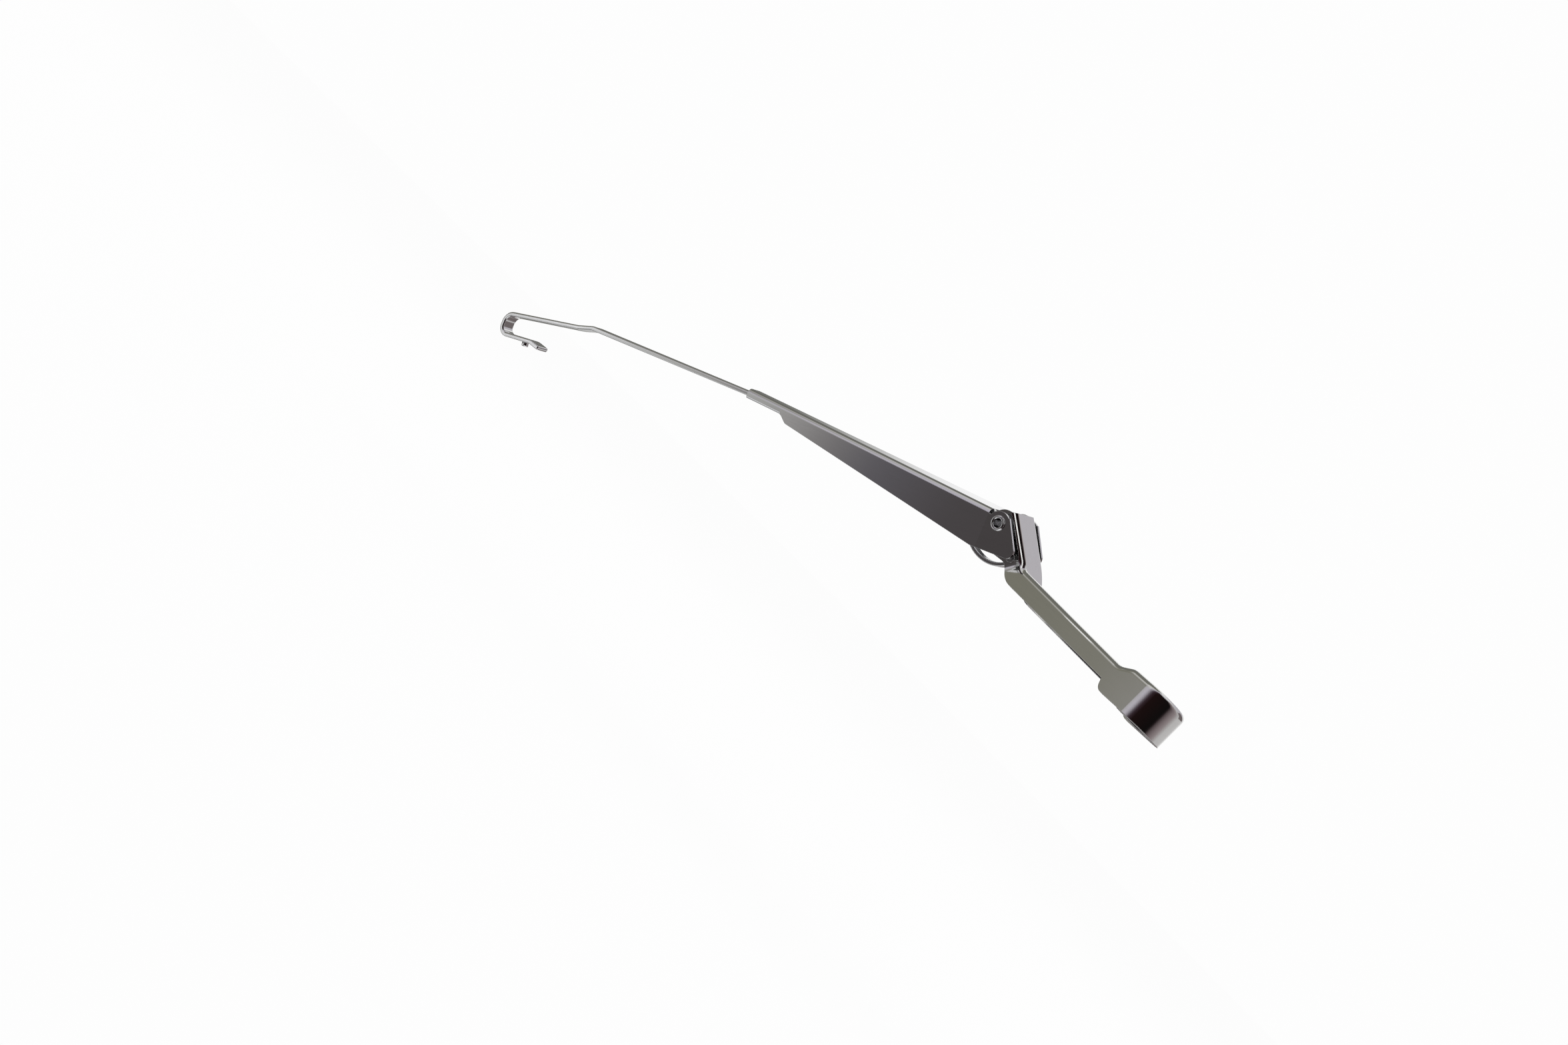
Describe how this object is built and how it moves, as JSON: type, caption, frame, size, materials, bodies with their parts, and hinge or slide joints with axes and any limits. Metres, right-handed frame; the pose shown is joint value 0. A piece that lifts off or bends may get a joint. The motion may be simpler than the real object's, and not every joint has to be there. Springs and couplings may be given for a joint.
{
  "type": "wiper arm",
  "caption": "Sprung wiper arm: pressed head with a spindle socket, tapered channel folded on a tubular rivet, and a flat bar ending in a blade hook.",
  "frame": {"origin": "on the spindle's axis at the mouth of the hub", "axes": "+Z out along the spindle, away from the glass; +X from the arm's pivot towards the hub; +Y across the head, away from the side the picture shows"},
  "size_m": [0.319, 0.0806, 0.0853],
  "materials": {
    "polished_head": "polished",
    "polished_arm": "polished",
    "polished_bar": "polished",
    "polished_link": "polished",
    "rivet_steel": "bright",
    "spring_steel": "satin",
    "die_cast": "as cast",
    "nylon": "matte"
  },
  "bodies": {
    "head": {"head_pressing": "polished_head", "spindle_bush": "die_cast", "retaining_clip": "spring_steel", "pivot_spacer": "rivet_steel", "spring_pin": "rivet_steel"},
    "arm": {"arm_channel": "polished_arm", "hook_bar": "polished_bar", "pivot_rivet": "rivet_steel", "pivot_washers": "nylon", "tension_spring": "spring_steel"},
    "link": {"spring_link": "polished_link"}
  },
  "joints": [
    {"name": "arm_pivot", "type": "hinge", "parent": "head", "child": "arm", "pos_m": [-0.08823, -0.00971, 0.0209], "axis": [-0.3338, 0.8942, 0.2984], "range_deg": [0, 60], "stiffness_Nm_per_rad": 1.2, "springref_deg": -44.69, "deforming": ["tension_spring"]},
    {"name": "link_swing", "type": "hinge", "parent": "head", "child": "link", "pos_m": [-0.08023, -0.00461, 0.01456], "axis": [-0.3338, 0.8942, 0.2984], "range_deg": [0, 54]}
  ],
  "couplings": [
    {"joint": "link_swing", "follows": "arm_pivot", "ratio": 0.884}
  ]
}
